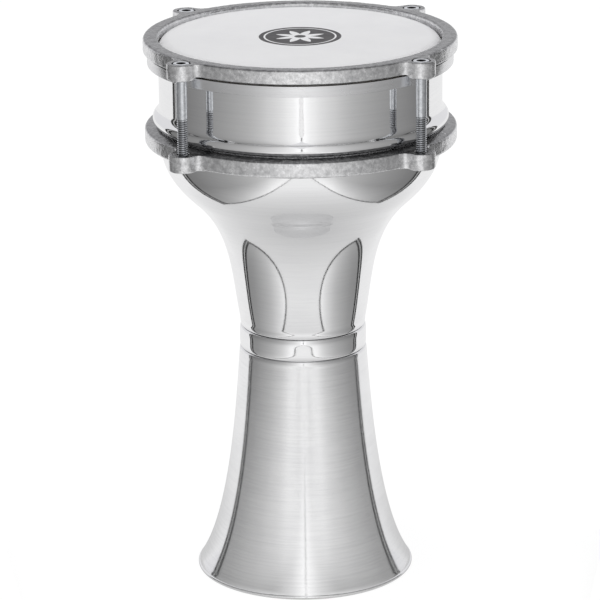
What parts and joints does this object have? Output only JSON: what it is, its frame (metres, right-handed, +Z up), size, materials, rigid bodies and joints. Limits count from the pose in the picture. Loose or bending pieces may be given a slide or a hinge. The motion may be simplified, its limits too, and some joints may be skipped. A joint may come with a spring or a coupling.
{
  "type": "goblet drum",
  "caption": "Aluminium goblet drum with a spun shell and flared foot, a film head between cast tension rings, and socket-head tension bolts.",
  "frame": {"origin": "middle of the circle that the foot rim stands on", "axes": "+Z up along the drum's axis, from the foot to the head; the bolts stand midway between the X and Y axes"},
  "size_m": [0.1868, 0.1868, 0.3343],
  "materials": {
    "shell_aluminium": "spun and polished, with fine lines round the axis",
    "cast_aluminium": "tumbled sand casting, mottled",
    "hoop_aluminium": "satin",
    "plated_steel": "bright zinc plate",
    "film": "smooth white polyester film with a dark printed disc",
    "resin": "cast epoxy, hidden in the hoop channel"
  },
  "bodies": {
    "shell": {"foot_bell": "shell_aluminium", "neck_collar": "shell_aluminium", "goblet_shell": "shell_aluminium", "lower_ring": "cast_aluminium"},
    "hoop": {"counter_hoop": "cast_aluminium"},
    "head": {"head_film": "film", "flesh_hoop": "hoop_aluminium", "hoop_resin": "resin"},
    "bolt_back_right": {"tension_bolt_back_right": "plated_steel"},
    "bolt_back_left": {"tension_bolt_back_left": "plated_steel"},
    "bolt_front_left": {"tension_bolt_front_left": "plated_steel"},
    "bolt_front_right": {"tension_bolt_front_right": "plated_steel"}
  },
  "joints": [
    {"name": "hoop_lift", "type": "slide", "parent": "shell", "child": "hoop", "axis": [0, 0, 1], "range_m": [0, 0.00762]},
    {"name": "head_lift", "type": "slide", "parent": "shell", "child": "head", "axis": [0, 0, 1], "range_m": [0, 0.00382]},
    {"name": "bolt_back_right_turn", "type": "hinge", "parent": "hoop", "child": "bolt_back_right", "pos_m": [0.06887, 0.06887, 0.3], "axis": [0, 0, 1], "range_deg": [0, 2160]},
    {"name": "bolt_back_left_turn", "type": "hinge", "parent": "hoop", "child": "bolt_back_left", "pos_m": [-0.06887, 0.06887, 0.3], "axis": [0, 0, 1], "range_deg": [0, 2160]},
    {"name": "bolt_front_left_turn", "type": "hinge", "parent": "hoop", "child": "bolt_front_left", "pos_m": [-0.06887, -0.06887, 0.3], "axis": [0, 0, 1], "range_deg": [0, 2160]},
    {"name": "bolt_front_right_turn", "type": "hinge", "parent": "hoop", "child": "bolt_front_right", "pos_m": [0.06887, -0.06887, 0.3], "axis": [0, 0, 1], "range_deg": [0, 2160]}
  ],
  "couplings": [
    {"joint": "head_lift", "follows": "hoop_lift", "ratio": 0.5},
    {"joint": "bolt_back_right_turn", "follows": "hoop_lift", "rad_per_m": 4947.3},
    {"joint": "bolt_back_left_turn", "follows": "hoop_lift", "rad_per_m": 4947.3},
    {"joint": "bolt_front_left_turn", "follows": "hoop_lift", "rad_per_m": 4947.3},
    {"joint": "bolt_front_right_turn", "follows": "hoop_lift", "rad_per_m": 4947.3}
  ]
}
